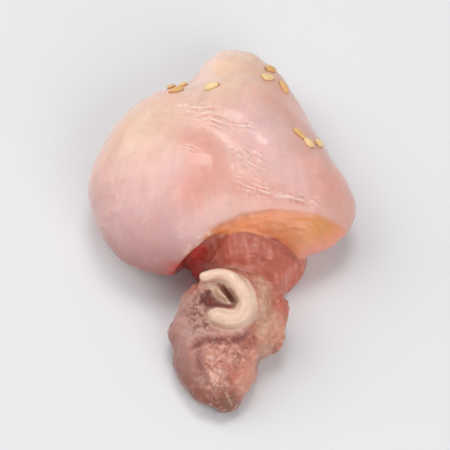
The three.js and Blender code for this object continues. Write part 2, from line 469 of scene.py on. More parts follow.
def blob(at, spread):
    """1 at a place, fading to nothing over a distance from it."""
    return np.exp(-((np.linalg.norm(place - at, axis=1) / spread) ** 2) / 2)


def spots(*places):
    """Up to 1 in spots, each given by its middle, its spread and its strength."""
    return np.clip(sum(strength * blob(at, spread) for at, spread, strength in places), 0, 1)


def bands(*lines):
    """Up to 1 along lines in plan, each given by its points, its spread and its strength."""
    return np.clip(sum(strength * along(line, x, y, spread) for line, spread, strength in lines), 0, 1)


def speckle(size, seed, octaves=2):
    """Noise at the mesh's points, between about -1 and 1, with patches of a size."""
    shift = Vector((seed * 7.3, seed * 3.1, seed * 5.7))
    return np.array([noise.fractal(Vector(p) / size + shift, 1, 2, octaves) for p in place])


def off_hollow():
    """How far the mesh's points are outside the hollow, as a share of its radii."""
    return np.linalg.norm((place - HOLLOW_AT) / HOLLOW_RADII, axis=1) - 1


# What each point is part of. The round muscle stops before the cut end, which starts past it.
MUSCLE_STOPS = (26, 28)
CUT_END_STARTS = (22, 23)
is_muscle = share_of(round_muscle)
is_hollow = share_of(hollow)
is_inner = share_of(inner_muscle, neck)
is_end = share_of(cut_end)
is_tendon = share_of(tendon)
is_fold = share_of(curl_fold)
is_pocket = share_of(pocket, curl_slot)
for tool in (round_muscle, hollow, inner_muscle, neck, cut_end, tendon, pocket, curl_fold, curl_slot, ground):
    bpy.data.objects.remove(tool)
x, y, z = place.T
is_muscle *= 1 - ramp(-y, *MUSCLE_STOPS)
is_inner *= 1 - is_muscle
is_end *= ramp(-y, *CUT_END_STARTS)
is_end *= 1 - is_tendon
is_pocket *= 1 - is_tendon

# The flesh in the hollow has grown together, so its creases are rounded, and so is the lip.
FILLET_PASSES = 40
LIP_PASSES = 10
LIP_WIDTH = 0.05
edge = off_hollow()
smooth = is_muscle * ramp(np.abs(edge), 0.04, 0.12)
place += (eased(place, MUSCLE_PASSES) - place) * smooth[:, None]
in_hollow = np.clip(is_hollow + is_inner, 0, 1) * (1 - is_muscle) * ramp(-edge, -0.02, 0.02) * ramp(z, 1, 3)
on_lip = np.exp(-((edge / LIP_WIDTH) ** 2)) * is_muscle * ramp(z, 3, 6)
place += (eased(place, FILLET_PASSES) - place) * in_hollow[:, None]
place += (eased(place, LIP_PASSES) - place) * on_lip[:, None]
x, y, z = place.T
edge = off_hollow()

# The muscle's grain fans out from beyond its pointed back, and the tendon's runs along it.
FAN_FROM = (8, 75)
FAN_REACH = 70
GRAIN_LEAN = (0.35, -0.8)
TENDON_WRAP = 2.5
fan = np.arctan2(x - FAN_FROM[0], FAN_FROM[1] - y) * FAN_REACH
grain = np.stack([fan + GRAIN_LEAN[0] * z, y + GRAIN_LEAN[1] * z, z], axis=1)
cord, _ = tendon_middle()
near_cord = np.where(is_tendon > 0.02)[0]
away = place[near_cord][:, None, :] - cord[None, :, :]
station = np.argmin((away**2).sum(axis=2), axis=1)
off = away[np.arange(len(near_cord)), station]
grain[near_cord, 0] = TENDON_WRAP * np.arctan2(off[:, 2], np.linalg.norm(off[:, :2], axis=1))
grain[near_cord, 1] = station * np.linalg.norm(cord[1] - cord[0])

# Relief of the round muscle: bundles of fibre, stronger at the back, broken wet wrinkles with
# pits in them, soft swells and a slightly puckered left flank.
BUNDLE = 2.2
BUNDLE_LENGTH = 6 * BUNDLE
BUNDLE_RISE = 0.04
BACK_BUNDLES = 1.2
WRINKLE_RISE = 0.2
WIDEST_FULL_STEP = 1.2
WRINKLE_WANDER = 2.6
WRINKLE_BREAK = 1.6
PIT_SIZE = 0.85
PIT_DEPTH = 0.2
SWELL_SIZE = 7.0
SWELL_RISE = 0.2
PUCKER = ((-21, -14, 12), 5.5)
PUCKER_SIZE = 1.3
PUCKER_RISE = 0.1
bundles = [noise.noise(Vector((g[0] / BUNDLE, g[1] / BUNDLE_LENGTH, 0))) for g in grain]
relief = BUNDLE_RISE * is_muscle * np.array(bundles) * (1 + BACK_BUNDLES * ramp(y, 2, 12))
wander = speckle(WRINKLE_WANDER, 1)
breaks = ramp(speckle(WRINKLE_BREAK, 6), -0.3, 0.3)
wrinkled = np.zeros(count)
# Painted glints, pale, along the crests of the wrinkles.
crest = np.zeros(count)
for at, degrees, length, width, step in WRINKLES:
    window, run, side = patch(x, y, at, degrees, length, width)
    window = window * is_muscle
    wave = np.sin(2 * math.pi * (side / step + 0.4 * wander + 0.05 * run))
    relief += WRINKLE_RISE * min(step, WIDEST_FULL_STEP) * window * wave * breaks
    wrinkled = np.maximum(wrinkled, window)
    crest = np.maximum(crest, window * breaks * ramp(wave, 0.1, 0.9))
relief -= PIT_DEPTH * ramp(wrinkled, 0.2, 0.7) * ramp(speckle(PIT_SIZE, 11), 0.1, 0.5)
relief += SWELL_RISE * is_muscle * speckle(SWELL_SIZE, 7, 1)
relief += PUCKER_RISE * is_muscle * blob(*PUCKER) * speckle(PUCKER_SIZE, 12)

# The lip is a facet that the knife left, a little sunk, with fine steps along its edge.
LIP_LINE = ((-6, -20.5), (-3, -18.4), (-1, -17.2), (3, -15.6), (9, -14.6), (18.6, -14.4), (26, -14.4))
LIP_SINK = 0.22
LIP_SINK_AT = 0.8
LIP_SINK_WIDTH = 0.9
LIP_STEP = 0.9
LIP_STEP_RISE = 0.05
LIP_ROUGH_SIZE = 1.6
LIP_ROUGH_RISE = 0.12
past_line = np.interp(x, *zip(*LIP_LINE)) - y
lip_band = ramp(past_line, -0.2, 1.0) * ramp(x, -5, -2.5) * is_muscle
rows = np.sin(2 * math.pi * (past_line / LIP_STEP + 0.5 * speckle(4.0, 8)))
lip_rough = LIP_ROUGH_RISE * speckle(LIP_ROUGH_SIZE, 9)
lip_sunk = LIP_SINK * np.exp(-(((past_line - LIP_SINK_AT) / LIP_SINK_WIDTH) ** 2))
relief += lip_band * (LIP_STEP_RISE * rows + lip_rough - lip_sunk)

# Where the knife left it, the lip's end is frayed into pale fat.
FRINGE_AT = 0.05
FRINGE_WIDTH = 0.05
FRINGE_SIZE = 1.3
FRINGE_RISE = 0.3
FRINGE_ROUGH_SIZE = 0.9
fringe = is_muscle * np.exp(-(((edge - FRINGE_AT) / FRINGE_WIDTH) ** 2))
fringe = fringe * ramp(x, -8.5, -6.5) * (1 - ramp(x, -3, -1))
fringe = fringe * ramp(z, 6.5, 8.5) * ramp(speckle(FRINGE_SIZE, 18), -0.5, 0.1)
relief += FRINGE_RISE * fringe * speckle(FRINGE_ROUGH_SIZE, 19)

# The torn inner muscle is lumpy and stringy.
LUMP_SIZE = 2.8
LUMP_RISE = 0.32
STRING_WIDTH = 0.85
STRING_LENGTH = 5
STRING_RISE = 0.14


def string_at(x, y, z):
    """The noise that draws the strings, long in the direction in which the muscle was torn."""
    return noise.noise(Vector((x / STRING_WIDTH + 0.3 * y, (y - z) / STRING_LENGTH, 0)))


torn = np.clip(is_inner + is_hollow, 0, 1) * (1 - is_muscle)
strings = np.array([string_at(*point) for point in place])
relief += torn * (LUMP_RISE * speckle(LUMP_SIZE, 2) + STRING_RISE * strings)
# Paler crests of the torn strings, partly their own colour and partly painted glints.
string_crest = ramp(strings + 0.5 * speckle(1.5, 13), 0.05, 0.5) + 0.7 * ramp(speckle(3.2, 14), 0.0, 0.9)
string_crest = torn * np.clip(string_crest, 0, 1)

# The cut end is coarse, with moist crumbs and a small lump. At its left a flap of smooth skin
# is folded over, small pits lie beside the pocket, and a sheath and a crease run under the curl.
COARSE_SIZE = 1.3
COARSE_RISE = 0.33
# Moist crumbs, paler than the face; their pale tone is partly painted glints.
CRUMBS_AND_GLINTS = (((-2.1, -40.3, 9.1), 2.1, 1), ((-2.1, -45.3, 7.1), 1.6, 1), ((2.4, -41.5, 8.5), 1.5, 1))
CRUMB_SIZE = 0.9
CRUMB_RISE = 0.45
END_EDGE = (((9.2, -34.5), (7.6, -39), (5.4, -43), (3.2, -46.5)), 1.1, 1)
END_SALMON = ((3.2, -44.4, 6.3), 2.6)
END_LUMP = ((-2.1, -45.4, 7.4), 1.2)
END_LUMP_RISE = 0.28
END_LUMP_ROUGH = 0.525
CREASE_LINE = ((-5.8, -39.4), (-4.2, -38.6), (-2.0, -38.4), (0.6, -38.9), (2.2, -38.7), (3.8, -37.9))
CREASE_WIDTH = 0.5
CREASE_DEPTH = 0.455
SHEATH_LINE = ((-5.4, -37.4), (3.0, -37.2))
SHEATH_WIDTH = 0.7
SHEATH_RISE = 0.21
FLAP_LINE = ((-6.9, -38.5), (-6.6, -42.5), (-5.0, -46.3))
FLAP_WIDTH = 0.8
FLAP_RISE = 0.28
FLAP_FOLD_OFF = 1.5
FLAP_FOLD_WIDTH = 0.45
FLAP_FOLD_DEPTH = 0.28
PIT_LINE = ((-3.6, -30.2), (-5.2, -33.4), (-4.8, -35.4))
PIT_BED_WIDTH = 1.7
END_PIT_SIZE = 0.7
END_PIT_DEPTH = 0.175
end_edge = is_end * bands(END_EDGE)
crumbs = is_end * spots(*CRUMBS_AND_GLINTS)
end_skin = is_end * ramp(-x - 0.2 * (y + 38), 3.0, 6.5)
end_salmon = is_end * blob(*END_SALMON)
end_lump = is_end * blob(*END_LUMP)
end_crease = is_end * along(CREASE_LINE, x, y, CREASE_WIDTH) * ramp(speckle(1.8, 22), -0.8, 0.1)
sheath = is_end * along(SHEATH_LINE, x, y, SHEATH_WIDTH)
flap = is_end * along(FLAP_LINE, x, y, FLAP_WIDTH)
flap_fold = is_end * along([(fx + FLAP_FOLD_OFF, fy) for fx, fy in FLAP_LINE], x, y, FLAP_FOLD_WIDTH)
pit_bed = is_end * np.clip(1.2 * along(PIT_LINE, x, y, PIT_BED_WIDTH), 0, 1)
pits = pit_bed * ramp(speckle(END_PIT_SIZE, 20), -0.1, 0.3)
crumbs = crumbs * (1 - sheath)
relief += FLAP_RISE * flap + SHEATH_RISE * sheath
relief -= CREASE_DEPTH * end_crease + FLAP_FOLD_DEPTH * flap_fold + END_PIT_DEPTH * pits
relief += end_lump * (END_LUMP_RISE + END_LUMP_ROUGH * speckle(0.9, 21))
end_rough = is_end * (1 - 0.7 * end_skin) * (1 - 0.6 * end_salmon)
relief += COARSE_RISE * end_rough * (speckle(COARSE_SIZE, 3) + 1.2 * np.abs(speckle(2.4, 4)) - 0.3)
relief += CRUMB_RISE * crumbs * ramp(speckle(CRUMB_SIZE, 10), -0.1, 0.4)

# The tendon is a bundle of strands, twisted a little and pressed unevenly together.
STRAND_WIDTH = 1.3
STRAND_TWIST = 0.12
STRAND_RISE = 0.02
TENDON_LUMP_SIZE = 1.7
TENDON_LUMP_RISE = 0.11
strand_run = grain[:, 0] / STRAND_WIDTH + STRAND_TWIST * grain[:, 1]
strands = np.sin(2 * math.pi * (strand_run + 0.5 * speckle(3.0, 15)))
strand_low = is_tendon * np.clip(ramp(-strands, 0.1, 1.0) * ramp(speckle(2.2, 16), -0.2, 0.5), 0, 1)
relief += is_tendon * (TENDON_LUMP_RISE * speckle(TENDON_LUMP_SIZE, 5) + STRAND_RISE * strands)
# Painted shade on the tendon's lower side.
low_side = np.zeros(count)
low_side[near_cord] = ramp(-off[:, 2] / TENDON_RADIUS, -0.75, 0.3)
low_side = low_side * is_tendon

# The relief fades out where the piece rests, so its underside stays flat.
REST_FADE = (0.15, 1.2)
place = place + (relief * ramp(z, *REST_FADE))[:, None] * normals_of(place, triangles)
place[:, 2] = np.maximum(place[:, 2], 0)

# The piece's middle, seen from above, is at the origin, as in the solid.
middle = (place.min(axis=0) + place.max(axis=0)) / 2
middle[2] = 0
flesh.data.vertices.foreach_set("co", ((place - middle) * MM).ravel())
flesh.data.update()
flesh.data.polygons.foreach_set("use_smooth", [True] * len(flesh.data.polygons))

# Where the tones of the round muscle show: paler fascia and fat at the back, with painted
# light on the left shoulder and the right of the back, salmon furrows, a painted reflection
# of the sky on the ridge and at the front left, mauve low on the front left, and painted
# shade underneath.
# Cream is the fat at the back and at the tip, and partly painted light: a painted highlight on the left
# shoulder, and painted light on the right of the back, which faces away from the window.
CREAM_AND_PAINTED_LIGHT = (((-17, 4, 19), 7.5, 1), ((1, 20, 16), 6, 1), ((0, 11, 21), 4, 0.7), ((8, 17, 17), 4, 0.7))
FILM_SIZE = 6.0
SALMON = (
    (((-5, -3), (-3, -8), (-6, -13)), 2.6, 1),
    (((9, 14), (16, 2), (20, -9)), 3.2, 0.9),
    (((2, -12), (14, -14)), 2, 0.6),
)
# A painted reflection of the sky, lilac, on the ridge and at the front left.
SKY_REFLECTION = ((((6, 2), (10, -4), (14, -9)), 3.2, 1), (((-9, -9), (-8, -17)), 3, 0.7))
MAUVE = (((-16, -17, 14), 6, 1), ((-10, -21, 12), 6, 1), ((-23, -10, 10), 6, 0.6))
# Painted shade low down, where the muscle curves under towards the board.
UNDERSIDE_SHADE = (((-12, -24, 5), 6, 1), ((-22, -17, 4), 5, 1), ((24, -14, 3), 5, 0.6))
film = is_muscle * ramp(speckle(FILM_SIZE, 17), 0.0, 0.5) * ramp(y + 0.4 * np.abs(x), 6, 16)
cream = is_muscle * spots(*CREAM_AND_PAINTED_LIGHT)
salmon = is_muscle * bands(*SALMON)
lilac = is_muscle * bands(*SKY_REFLECTION)
mauve = is_muscle * spots(*MAUVE)
underside = is_muscle * spots(*UNDERSIDE_SHADE)

# Where the tones of the lip and the hollow show. The lip is cut flesh below its line, with
# yellow fat at its right and a deeper orange along its lower edge, partly painted shade.
# Painted shade lies in the crease below its right part, and the hollow's left foot is deep red.
LIP_FAT = ((18, -16.3, 13.3), 3.2)
LIP_EDGE_AT = 0.02
LIP_EDGE_WIDTH = 0.07
FOOT = (((-9, -22.5), (-6, -19.5), (-3.2, -17.5)), 1.5, 1)
FOOT_RIM = (((-14, -25.5), (-9, -23), (-5, -19.5)), 1.6, 1)
SEAM_SHADE_STRENGTH = 3.6
lip_wall = is_hollow * ramp(z, 12.6, 14.2) * ramp(x, -3.5, 0)
lip = np.maximum(lip_band, lip_wall)
low_flank = lip * ramp(x, 12, 17) * (1 - ramp(z, 7, 12))
# The lip's lower edge is a deeper orange, partly the cut flesh's own colour and partly painted shade under
# the lip.
lip_edge = lip * np.exp(-(((edge - LIP_EDGE_AT) / LIP_EDGE_WIDTH) ** 2))
lip_fat = lip * blob(*LIP_FAT)
lip_deep = lip * (1 - ramp(x, 4, 9)) * ramp(past_line, 0.6, 1.6)
inside = (1 - is_muscle * ramp(edge, 0.0, 0.03)) * (1 - is_end) * (1 - is_tendon) * ramp(-y, 5, 7)
inside *= ramp(0.25 - edge, 0, 0.1) * (1 - lip_wall)
# Painted shade: a dark line where the inner muscle meets the hollow's wall, on the right under the lip.
seam = np.clip(SEAM_SHADE_STRENGTH * is_hollow * is_inner, 0, 1) * ramp(x, 0, 4.5) * ramp(z, 6, 9)
foot = np.clip(is_hollow + is_inner + is_muscle, 0, 1) * bands(FOOT) * (1 - ramp(z, 9, 12))
foot = np.clip(foot + is_muscle * bands(FOOT_RIM) * (1 - ramp(z, 4.5, 8)), 0, 1)

# Where the tones of the cut end show, and of the fat on it and on the muscle's back.
BACK_FAT = ((8, 21, 13), 3)
FAT_LINE = ((6.4, -26.2), (7.4, -29), (7.2, -32), (7.0, -37))
FAT_WIDTH = 1.0
END_FAT = ((0.4, -48.6, 3.5), 1.7)
# A painted highlight on the cut end's right corner.
END_CORNER_HIGHLIGHT = ((10.2, -36.2, 8.0), 1.9)
fat = np.clip(0.5 * is_muscle * blob(*BACK_FAT) + is_end * along(FAT_LINE, x, y, FAT_WIDTH), 0, 1)
end_rim = is_end * ramp(-y - 0.2 * z, 42.5, 47.5)
end_right = is_end * ramp(x, 8, 9.5)
end_low = is_end * (1 - ramp(z, 3, 9))
end_fat = is_end * blob(*END_FAT)
end_corner = is_end * blob(*END_CORNER_HIGHLIGHT)
# The crease under the curl and the fold of the flap are painted dark: painted shade.
end_crease = np.maximum(end_crease, 0.6 * flap_fold)
end_plain = (1 - end_skin) * (1 - end_salmon)


def mark(mesh, name, values):
    """Writes a value at each point of a mesh, for its material to read."""
    kind, field = ("FLOAT", "value") if values.ndim == 1 else ("FLOAT_VECTOR", "vector")
    mesh.attributes.new(name, kind, "POINT").data.foreach_set(field, values.astype(np.float32).ravel())


# Besides the tones: the grain, how much the wet film is broken up, bare muscle, and grit.
broken = 0.3 + 2.0 * wrinkled + 0.9 * is_end + 1.6 * inside + 0.8 * mauve + 0.9 * is_tendon
mark(flesh.data, "grain", grain)
mark(flesh.data, "broken", np.clip(broken, 0, 2.4))
mark(flesh.data, "muscle", is_muscle * (1 - lip))
mark(flesh.data, "gritty", is_end * np.clip(0.3 * end_plain + 0.9 * crumbs + 0.4 * end_rim, 0, 1))


def linear(hex_colour):
    """An sRGB hex colour as the linear colour that a shader takes."""
    channels = [int(hex_colour[k : k + 2], 16) / 255 for k in (1, 3, 5)]
    return [c / 12.92 if c <= 0.04045 else ((c + 0.055) / 1.055) ** 2.4 for c in channels] + [1]


def add(material, kind, settings=None, **inputs):
    """Adds a node with its settings, and sets or links its inputs by name or number."""
    made = material.node_tree.nodes.new("ShaderNode" + kind)
    for key, value in (settings or {}).items():
        setattr(made, key, value)
    for key, value in inputs.items():
        numbered = key[0] == "i" and key[1:].isdigit()
        socket = made.inputs[int(key[1:]) if numbered else key.replace("_", " ")]
        if isinstance(value, bpy.types.NodeSocket):
            material.node_tree.links.new(value, socket)
        else:
            socket.default_value = value
    return made


# Raw muscle is a soft, milky solid full of water: light goes in and comes out pink. Tissue
# has an IOR of about 1.38, and the film of juice over it is as smooth as water.
meat = bpy.data.materials.new("raw_chicken_muscle_wet")
meat.use_nodes = True
meat.node_tree.nodes.clear()

# Each tone by its name, where it shows, its colour and its strength, each laid over the last.
MUSCLE_PINK = "#e6b7ab"
TONES = (
    # Cream fat, with painted light on the left shoulder and the right of the back.
    ("cream", cream, "#ecc8ae", 0.9),
    ("film", film, "#f0d6cc", 0.45),
    # A painted reflection of the sky.
    ("lilac", lilac, "#e6bebb", 0.8),
    ("mauve", mauve, "#dcb1af", 0.8),
    ("salmon", salmon, "#e09f8e", 0.8),
    # Painted shade underneath.
    ("underside", underside, "#a45a50", 0.9),
    # Painted glints on the wrinkles' crests.
    ("crest", crest, "#fbe4da", 0.7),
    ("lip", lip, "#e59262", 0.9),
    # Deeper orange at the lip's lower edge, partly painted shade.
    ("lip_edge", lip_edge, "#dc7a45", 0.85),
    ("lip_deep", lip_deep, "#ec9866", 0.7),
    ("lip_fat", lip_fat, "#dc9a58", 0.6),
    ("low_flank", low_flank, "#ea9888", 0.9),
    ("inner", inside, "#bb5f49", 1.0),
    # Paler strings, partly painted glints.
    ("string_crest", string_crest, "#dc9480", 0.5),
    # Painted shade in the crease under the lip.
    ("seam", seam, "#7f3426", 0.8),
    ("foot", foot, "#e2473f", 0.95),
    ("fringe", fringe, "#f0d8c2", 0.8),
    ("cut_face", is_end, "#a9614d", 1.0),
    ("end_skin", end_skin, "#b5857b", 0.9),
    ("end_right", end_right, "#bd6650", 0.85),
    ("end_rim", end_rim, "#96533f", 0.8),
    ("end_low", end_low, "#8a5546", 0.85),
    ("end_salmon", end_salmon, "#bf6650", 0.8),
    ("sheath", sheath, "#cf9f96", 0.85),
    ("end_fat", end_fat, "#7c543c", 0.8),
    # Painted highlight.
    ("end_corner", end_corner, "#e2a680", 0.75),
    ("pit_bed", pit_bed, "#bd9184", 0.75),
    # Paler crumbs, partly painted glints.
    ("crumbs", crumbs, "#d39c8a", 0.75),
    ("end_lump", end_lump, "#dfb3a2", 0.8),
    # Painted shade in the crease and the flap's fold.
    ("end_crease", end_crease, "#86403a", 0.85),
    ("pits", pits, "#8a5545", 0.65),
    ("end_edge", end_edge, "#d09a84", 0.75),
    ("fat", fat, "#cda185", 0.8),
    ("tendon", np.clip(is_tendon + is_fold, 0, 1), "#e2c5ae", 1.0),
    ("fold", is_fold, "#bf977d", 0.65),
    # Painted shade on the tendon's lower side.
    ("low_side", low_side, "#b98570", 0.85),
    ("strand_low", strand_low, "#cfa690", 0.35),
    # Painted shade: near-black red in the pocket and the slot by the curl.
    ("pocket", is_pocket * (1 - is_fold), "#6e332a", 0.95),
)

# The sizes of its patterns, in millimetres. Single fibres are under 0.1 across, too fine to show
# here, so the streaks are as wide as small bundles of them, and drawn out along the grain.
STREAK_WIDTH = 1.111
STREAK_DRAWN = 0.12
MOTTLE_SIZE = 3.846
CLOUD_SIZE = 9.09
grain_node = add(meat, "Attribute", {"attribute_name": "grain"})
stretched = add(
    meat, "VectorMath", {"operation": "MULTIPLY"},
    i0=grain_node.outputs["Vector"], i1=(1.0, STREAK_DRAWN, 0.0),
)
streaks = add(
    meat, "TexNoise", Vector=stretched.outputs[0], Scale=1 / STREAK_WIDTH, Detail=4.0, Roughness=0.6,
)
where = add(meat, "TexCoord").outputs["Object"]
mottle = add(meat, "TexNoise", Vector=where, Scale=1 / (MOTTLE_SIZE * MM), Detail=3.0, Roughness=0.55)
colour = linear(MUSCLE_PINK)
for name, shows, tone, strength in TONES:
    mark(flesh.data, name, shows)
    mask = add(meat, "Attribute", {"attribute_name": name})
    ragged = add(meat, "Math", {"operation": "MULTIPLY_ADD"}, i0=mottle.outputs["Fac"], i1=0.5, i2=-0.25)
    loose = add(meat, "Math", {"operation": "MULTIPLY"}, i0=ragged.outputs[0], i1=mask.outputs["Fac"])
    rough_mask = add(meat, "Math", {"operation": "ADD"}, i0=mask.outputs["Fac"], i1=loose.outputs[0])
    factor = add(
        meat, "Math", {"operation": "MULTIPLY", "use_clamp": True}, i0=rough_mask.outputs[0], i1=strength,
    )
    mix = add(meat, "Mix", {"data_type": "RGBA"}, i0=factor.outputs[0], i6=colour, i7=linear(tone))
    colour = mix.outputs[2]
streak_fade = add(
    meat, "MapRange", Value=streaks.outputs["Fac"], From_Min=0.35, From_Max=0.7, To_Min=0.97, To_Max=1.02,
)
cloud = add(
    meat, "TexNoise", Vector=where, Scale=1 / (CLOUD_SIZE * MM), Detail=4.0, Roughness=0.6, Distortion=0.6,
)
cloud_fade = add(
    meat, "MapRange", Value=cloud.outputs["Fac"], From_Min=0.35, From_Max=0.65, To_Min=0.93, To_Max=1.05,
)
fade = add(meat, "Math", {"operation": "MULTIPLY"}, i0=streak_fade.outputs[0], i1=cloud_fade.outputs[0])
toned = add(meat, "VectorMath", {"operation": "SCALE"}, i0=colour, Scale=fade.outputs[0])

# A few pale threads of fascia lie on the muscle, and pinpoints of blood show through it.
THREAD_GAP = 3.571
THREAD_WIDTH = 0.09
THREAD_STRAY = 2.6
THREAD_CREAM = "#f4e0d6"
PRICK_SIZE = 1.613
PRICK_RED = "#cf7f74"
bare = add(meat, "Attribute", {"attribute_name": "muscle"})
wobble = add(
    meat, "VectorMath", {"operation": "MULTIPLY_ADD"},
    i0=mottle.outputs["Color"], i1=(THREAD_STRAY, THREAD_STRAY, 0.0), i2=stretched.outputs[0],
)
threads = add(
    meat, "TexVoronoi", {"feature": "DISTANCE_TO_EDGE"}, Vector=wobble.outputs[0], Scale=1 / THREAD_GAP,
)
thread = add(
    meat, "MapRange", Value=threads.outputs["Distance"],
    From_Min=0.0, From_Max=THREAD_WIDTH, To_Min=0.16, To_Max=0.0,
)
patchy = add(
    meat, "MapRange", Value=cloud.outputs["Fac"], From_Min=0.48, From_Max=0.6, To_Min=0.0, To_Max=1.0,
)
seen = add(meat, "Math", {"operation": "MULTIPLY"}, i0=thread.outputs[0], i1=patchy.outputs[0])
on_muscle = add(meat, "Math", {"operation": "MULTIPLY"}, i0=seen.outputs[0], i1=bare.outputs["Fac"])
threaded = add(
    meat, "Mix", {"data_type": "RGBA"},
    i0=on_muscle.outputs[0], i6=toned.outputs[0], i7=linear(THREAD_CREAM),
)
pricks = add(meat, "TexNoise", Vector=where, Scale=1 / (PRICK_SIZE * MM), Detail=2.0, Roughness=0.5)
prick = add(
    meat, "MapRange", Value=pricks.outputs["Fac"], From_Min=0.55, From_Max=0.75, To_Min=0.0, To_Max=0.16,
)
prick_on = add(meat, "Math", {"operation": "MULTIPLY"}, i0=prick.outputs[0], i1=bare.outputs["Fac"])
pricked = add(
    meat, "Mix", {"data_type": "RGBA"},
    i0=prick_on.outputs[0], i6=threaded.outputs[2], i7=linear(PRICK_RED),
)

# The cut face is speckled with its bump's grit: painted shade in the dips, painted glints on the tops.
GRIT_SIZE = 1.053
GRIT_SHADE = "#7c463a"
GRIT_GLINT = "#e6beb0"
cut_mask = add(meat, "Attribute", {"attribute_name": "gritty"})
grit = add(meat, "TexNoise", Vector=where, Scale=1 / (GRIT_SIZE * MM), Detail=3.0, Roughness=0.6)
speckled = pricked.outputs[2]
for low, high, at_low, at_high, tone in (
    (0.36, 0.48, 0.5, 0.0, GRIT_SHADE),
    (0.54, 0.65, 0.0, 0.6, GRIT_GLINT),
):
    specks = add(
        meat, "MapRange", Value=grit.outputs["Fac"],
        From_Min=low, From_Max=high, To_Min=at_low, To_Max=at_high,
    )
    part = add(meat, "Math", {"operation": "MULTIPLY"}, i0=specks.outputs[0], i1=cut_mask.outputs["Fac"])
    mix = add(meat, "Mix", {"data_type": "RGBA"}, i0=part.outputs[0], i6=speckled, i7=linear(tone))
    speckled = mix.outputs[2]

# The juice stands in swells and beads, and follows the grit and the finest grain below it.
FINE_SIZE = 0.3846
BEAD_SIZE = 1.111
WAVE_SIZE = 3.03
JUICE_DEPTH = 0.14
LIGHT_REACH = 2
gritty = add(meat, "Math", {"operation": "MULTIPLY"}, i0=grit.outputs["Fac"], i1=cut_mask.outputs["Fac"])
fine = add(meat, "TexNoise", Vector=where, Scale=1 / (FINE_SIZE * MM), Detail=2.0)
beads = add(meat, "TexNoise", Vector=where, Scale=1 / (BEAD_SIZE * MM), Detail=3.0, Roughness=0.6)
swell = add(meat, "TexNoise", Vector=where, Scale=1 / (WAVE_SIZE * MM), Detail=2.0)
film_broken = add(meat, "Attribute", {"attribute_name": "broken"})
height = add(
    meat, "Math", {"operation": "MULTIPLY"}, i0=beads.outputs["Fac"], i1=film_broken.outputs["Fac"],
)
for wave, share in ((swell.outputs["Fac"], 0.75), (gritty.outputs[0], 1.6), (fine.outputs["Fac"], 0.06)):
    height = add(meat, "Math", {"operation": "MULTIPLY_ADD"}, i0=wave, i1=share, i2=height.outputs[0])
bump = add(meat, "Bump", Strength=1.0, Distance=JUICE_DEPTH * MM, Height=height.outputs[0])
surface = add(
    meat, "BsdfPrincipled", Base_Color=speckled, Roughness=0.42, IOR=1.38, Normal=bump.outputs[0],
    Subsurface_Weight=0.6, Subsurface_Radius=(1.0, 0.42, 0.28), Subsurface_Scale=LIGHT_REACH * MM,
    Coat_Weight=0.8, Coat_Roughness=0.11, Coat_IOR=1.33, Coat_Normal=bump.outputs[0],
)
add(meat, "OutputMaterial", Surface=surface.outputs[0])
flesh.data.materials.clear()
flesh.data.materials.append(meat)
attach(flesh, "root")
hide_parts("thigh_piece")

# Sesame seeds
# Hulled seeds, flat drops about three millimetres long. They cling to the wet flesh along the
# back and the right flank of the muscle, pressed in by a fraction of their thickness.

SEED_LENGTH = 3.2
SEED_WIDTH = 1.9
SEED_THICKNESS = 1.1
SEED_SINK = 0.25
SEED_TAPER = 0.3
SEED_RIB = 0.15
SEED_SIZE_SPREAD = 0.1
SEED_TURN = 2.4
DROPPED_FROM = 60
BLUNT_SPOT = 0.35
POINT_SPOT = 0.9
# The spots where they lie, each by its middle, how many seeds and how far they stray.
SEED_SPOTS = (
    ((-2.6, 11.3), 1, 0),
    ((-9.8, 13.4), 3, 2.6),
    ((9.5, 16.5), 3, 3.2),
    ((16.4, 1), 3, 2.6),
)
flesh_tree = BVHTree.FromPolygons((place - middle).tolist(), triangles.tolist())
seed_points, seed_faces, seed_tones, seed_tips = [], [], [], []
shape, shape_faces = ball(4)
laid = 0
for (at_x, at_y), how_many, stray in SEED_SPOTS:
    for i in range(how_many):
        turn = SEED_TURN * laid
        away = stray * math.sqrt((i + 0.5) / how_many)
        over_x = at_x + away * math.cos(turn) - middle[0]
        over_y = at_y + away * math.sin(turn) - middle[1]
        hit, normal, _, _ = flesh_tree.ray_cast(Vector((over_x, over_y, DROPPED_FROM)), Vector((0, 0, -1)))
        drop = shape.copy()
        drop[:, 1] *= 1 - SEED_TAPER * drop[:, 0]
        drop[:, 2] *= 1 + SEED_RIB * np.cos(3 * drop[:, 0] + laid)
        size = 1 - SEED_SIZE_SPREAD * abs(math.sin(3.1 * laid))
        drop *= np.array((SEED_LENGTH, SEED_WIDTH, SEED_THICKNESS)) / 2 * size
        lean = np.array(Vector((0, 0, 1)).rotation_difference(normal).to_matrix())
        seed_points.append(turned(drop, 2 * turn) @ lean.T + np.array(hit + SEED_SINK * normal))
        seed_faces.append(shape_faces + laid * len(shape))
        seed_tones.append(np.full(len(shape), 0.5 + 0.5 * math.sin(4.7 * laid + 1)))
        if laid % 3:
            seed_tips.append(BLUNT_SPOT * (1 - ramp(shape[:, 0], -1.0, -0.75)))
        else:
            seed_tips.append(POINT_SPOT * ramp(shape[:, 0], 0.8, 1.0))
        laid += 1
seeds = solid("sesame_seeds", np.concatenate(seed_points) * MM, np.concatenate(seed_faces))
seeds.data.polygons.foreach_set("use_smooth", [True] * len(seeds.data.polygons))
mark(seeds.data, "tone", np.concatenate(seed_tones))
mark(seeds.data, "tip", np.concatenate(seed_tips))

